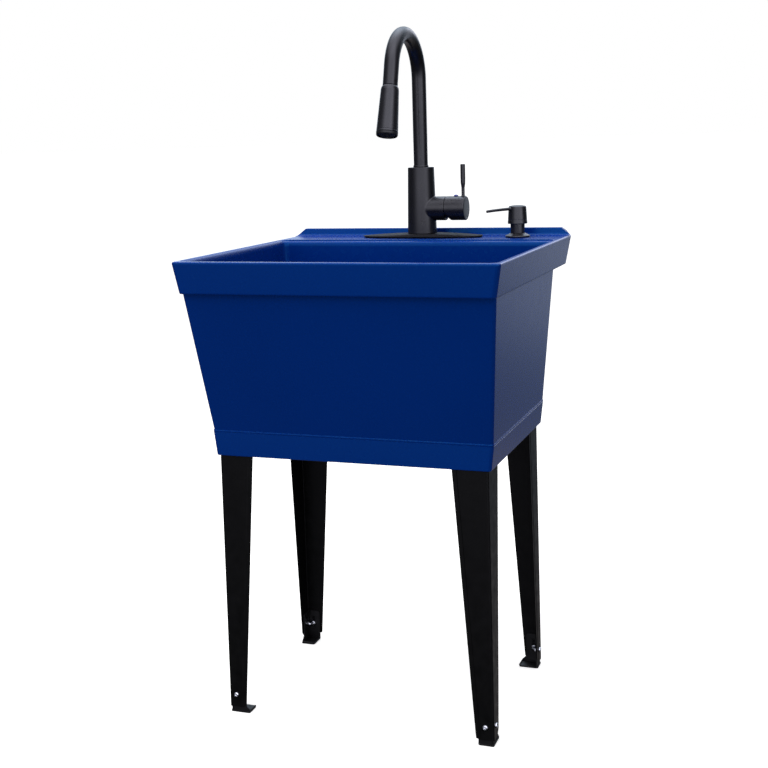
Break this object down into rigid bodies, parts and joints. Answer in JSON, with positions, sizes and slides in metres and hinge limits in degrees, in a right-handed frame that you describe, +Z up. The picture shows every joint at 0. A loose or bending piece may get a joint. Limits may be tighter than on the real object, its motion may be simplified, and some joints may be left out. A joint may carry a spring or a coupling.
{
  "type": "utility sink",
  "caption": "Floor-standing moulded laundry tub on tapered angle legs with levelling feet, a black pull-down gooseneck faucet and a deck soap dispenser.",
  "frame": {"origin": "on the floor, under the middle of the tub's rim", "axes": "+X to the user's right, +Y to the wall behind the sink, +Z up; the front faces -Y"},
  "size_m": [0.5802, 0.5612, 1.2488],
  "materials": {
    "tub_blue": "satin gloss moulded thermoplastic, dark blue",
    "leg_black": "black powder coat",
    "foot_black": "black coat, slightly rough",
    "zinc": "bright zinc plate",
    "faucet_black": "matt black with a soft sheen",
    "spray_black": "matt black with a soft sheen",
    "black_plastic": "matt moulded plastic",
    "rubber": "plain black rubber",
    "brass": "turned brass",
    "steel": "stainless steel",
    "white_plastic": "natural moulded plastic",
    "bottle": "translucent moulded plastic",
    "index_blue": "gloss blue"
  },
  "bodies": {
    "sink": {"tub": "tub_blue", "leg_front_left": "leg_black", "screw_a_front_left": "zinc", "nut_a_front_left": "zinc", "screw_b_front_left": "zinc", "nut_b_front_left": "zinc", "leg_front_right": "leg_black", "screw_a_front_right": "zinc", "nut_a_front_right": "zinc", "screw_b_front_right": "zinc", "nut_b_front_right": "zinc", "leg_rear_right": "leg_black", "screw_a_rear_right": "zinc", "nut_a_rear_right": "zinc", "screw_b_rear_right": "zinc", "nut_b_rear_right": "zinc", "leg_rear_left": "leg_black", "screw_a_rear_left": "zinc", "nut_a_rear_left": "zinc", "screw_b_rear_left": "zinc", "nut_b_rear_left": "zinc", "drain_flange": "steel", "drain_gasket": "rubber", "drain_locknut": "black_plastic", "deck_plate_gasket": "rubber", "deck_plate": "faucet_black", "faucet_body": "faucet_black", "cartridge": "white_plastic", "cartridge_nut": "faucet_black", "spout_bush": "white_plastic", "faucet_shank": "brass", "faucet_washer": "steel", "faucet_nut": "brass", "soap_gasket": "rubber", "soap_flange": "spray_black", "soap_pump_housing": "spray_black", "soap_dip_tube": "white_plastic", "soap_locknut": "black_plastic", "soap_bottle": "bottle"},
    "handle_rotor": {"stem_turret": "brass", "tilt_pin": "steel"},
    "handle": {"valve_stem": "steel", "handle_cap": "faucet_black", "set_screw": "steel", "index_plug": "index_blue", "lever_rod": "faucet_black"},
    "spout": {"spout_tube": "faucet_black", "spout_collar": "faucet_black", "spray_dock": "black_plastic"},
    "spray": {"spray_head": "spray_black", "spray_face": "black_plastic", "hose_end": "steel"},
    "spray_toggle": {"spray_button": "black_plastic"},
    "soap_plunger": {"soap_piston": "white_plastic"},
    "soap_nozzle": {"soap_head": "spray_black"},
    "strainer": {"drain_strainer": "steel"},
    "foot_front_left": {"foot_front_left": "foot_black"},
    "foot_front_right": {"foot_front_right": "foot_black"},
    "foot_rear_right": {"foot_rear_right": "foot_black"},
    "foot_rear_left": {"foot_rear_left": "foot_black"}
  },
  "joints": [
    {"name": "spout_swivel", "type": "hinge", "parent": "sink", "child": "spout", "pos_m": [0, 0.2255, 0.985], "axis": [0, 0, 1], "range_deg": [-180, 180]},
    {"name": "spray_pull_down", "type": "slide", "parent": "spout", "child": "spray", "axis": [0, -0.2756, -0.9613], "range_m": [0, 0.045]},
    {"name": "spray_toggle_press", "type": "slide", "parent": "spray", "child": "spray_toggle", "axis": [0, -0.9613, 0.2756], "range_m": [0, 0.0014], "stiffness_N_per_m": 1500, "springref_m": -0.0006},
    {"name": "handle_turn", "type": "hinge", "parent": "sink", "child": "handle_rotor", "pos_m": [0.045, 0.2255, 0.904], "axis": [1, 0, 0], "range_deg": [-45, 45]},
    {"name": "handle_tilt", "type": "hinge", "parent": "handle_rotor", "child": "handle", "pos_m": [0.06, 0.2255, 0.904], "axis": [0, 1, 0], "range_deg": [0, 16]},
    {"name": "soap_press", "type": "slide", "parent": "sink", "child": "soap_plunger", "axis": [0, 0, -1], "range_m": [0, 0.012], "stiffness_N_per_m": 400, "springref_m": -0.01},
    {"name": "soap_turn", "type": "hinge", "parent": "soap_plunger", "child": "soap_nozzle", "pos_m": [0.195, 0.2255, 0.887], "axis": [0, 0, 1], "continuous": true},
    {"name": "strainer_lift", "type": "slide", "parent": "sink", "child": "strainer", "axis": [0, 0, 1], "range_m": [0, 0.03]},
    {"name": "foot_level_front_left", "type": "slide", "parent": "sink", "child": "foot_front_left", "axis": [0, 0, -1], "range_m": [-0.006, 0.012]},
    {"name": "foot_level_front_right", "type": "slide", "parent": "sink", "child": "foot_front_right", "axis": [0, 0, -1], "range_m": [-0.006, 0.012]},
    {"name": "foot_level_rear_right", "type": "slide", "parent": "sink", "child": "foot_rear_right", "axis": [0, 0, -1], "range_m": [-0.006, 0.012]},
    {"name": "foot_level_rear_left", "type": "slide", "parent": "sink", "child": "foot_rear_left", "axis": [0, 0, -1], "range_m": [-0.006, 0.012]}
  ]
}
